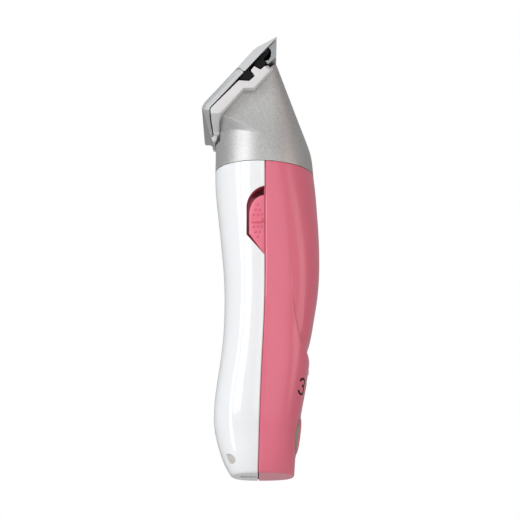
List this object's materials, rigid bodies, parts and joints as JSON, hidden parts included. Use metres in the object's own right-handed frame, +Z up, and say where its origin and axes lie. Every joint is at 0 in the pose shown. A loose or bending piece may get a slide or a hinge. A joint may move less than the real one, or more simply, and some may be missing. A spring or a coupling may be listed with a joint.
{
  "type": "electric pet clipper",
  "caption": "Cordless hand clipper for animal coats: two-part curved handle, angled head and a hinged reciprocating comb blade.",
  "frame": {"origin": "centre of the flat base the clipper stands on", "axes": "+Z up the handle towards the blade, +X to the front of the handle with the round button, -X to the outer face of the blade, -Y to the side with the power slide"},
  "size_m": [0.0489, 0.0466, 0.1808],
  "materials": {
    "white_shell": "gloss white moulded shell",
    "pink_shell": "rose-pink moulded shell, semi-gloss",
    "pink_button": "rose-pink moulded button, satin",
    "grey_ring": "grey ring",
    "plug_rubber": "beige-grey plug",
    "silver_paint": "silver metallic paint, fine flake",
    "cradle_grey": "light grey satin plastic",
    "blade_steel": "ground blade steel",
    "plate_satin": "satin plate",
    "cutter_steel": "ground cutter steel",
    "spring_steel": "spring steel",
    "black_plastic": "black moulded plastic",
    "inner_plastic": "natural internal plastic",
    "screw_steel": "zinc plated steel",
    "brass_contact": "brass",
    "nickel_strip": "nickel strip",
    "cell_wrap": "shrink wrapped cell",
    "board_laminate": "circuit board laminate",
    "light_lens": "milky light pipe",
    "zinc_can": "plated motor can",
    "magnet": "ferrite magnet",
    "rotor_steel": "laminated core with windings",
    "damper_rubber": "rubber washer"
  },
  "bodies": {
    "handle": {"rear_cover": "white_shell", "front_cover": "pink_shell", "case_screws": "screw_steel", "screw_plugs": "plug_rubber", "charge_socket": "black_plastic", "charge_contacts": "brass_contact", "battery_cell": "cell_wrap", "battery_cradle": "inner_plastic", "battery_contact_bottom": "nickel_strip", "battery_contact_top": "nickel_strip", "control_board": "board_laminate", "board_screws": "screw_steel", "control_chips": "black_plastic", "indicator_light": "light_lens", "button_bezel": "grey_ring", "tact_switch": "black_plastic", "power_switch_body": "inner_plastic", "motor_can": "zinc_can", "motor_end_cap": "black_plastic", "motor_terminals": "brass_contact", "motor_magnets": "magnet", "motor_damper": "damper_rubber", "motor_bracket": "inner_plastic", "motor_screws": "screw_steel", "lever_pivot_pin": "screw_steel", "head_casing": "silver_paint", "head_screws": "screw_steel", "blade_cradle": "cradle_grey", "blade_hinge_pin": "screw_steel"},
    "power_switch": {"power_button": "pink_button", "power_switch_slider": "black_plastic"},
    "speed_key": {"speed_button": "pink_button", "tact_plunger": "black_plastic"},
    "motor_rotor_shaft": {"motor_rotor": "rotor_steel", "motor_shaft": "screw_steel", "eccentric_cam": "brass_contact"},
    "lever": {"drive_lever": "inner_plastic", "lever_bush": "brass_contact"},
    "blade_set": {"fixed_blade": "blade_steel", "blade_base_plate": "plate_satin", "blade_guide": "black_plastic", "blade_screws": "screw_steel", "blade_tension_spring": "spring_steel"},
    "cutter": {"moving_blade": "cutter_steel", "blade_carrier": "black_plastic"}
  },
  "joints": [
    {"name": "power_slide", "type": "slide", "parent": "handle", "child": "power_switch", "axis": [0, 0, 1], "range_m": [0, 0.0024]},
    {"name": "speed_press", "type": "slide", "parent": "handle", "child": "speed_key", "axis": [-0.9914, 0, 0.1305], "range_m": [0, 0.0006], "stiffness_N_per_m": 400, "springref_m": -0.0005},
    {"name": "motor_spin", "type": "hinge", "parent": "handle", "child": "motor_rotor_shaft", "pos_m": [0.003, 0, 0.1], "axis": [0, 0, 1], "continuous": true},
    {"name": "lever_swing", "type": "hinge", "parent": "handle", "child": "lever", "pos_m": [0.003, 0, 0.142], "axis": [1, 0, 0], "range_deg": [-3, 3]},
    {"name": "blade_release", "type": "hinge", "parent": "handle", "child": "blade_set", "pos_m": [-0.0207, 0, 0.1415], "axis": [0, -1, 0], "range_deg": [0, 20]},
    {"name": "cutter_slide", "type": "slide", "parent": "blade_set", "child": "cutter", "axis": [0, 1, 0], "range_m": [-0.0012, 0.0012]}
  ],
  "couplings": [
    {"joint": "lever_swing", "follows": "cutter_slide", "rad_per_m": -42.7}
  ]
}
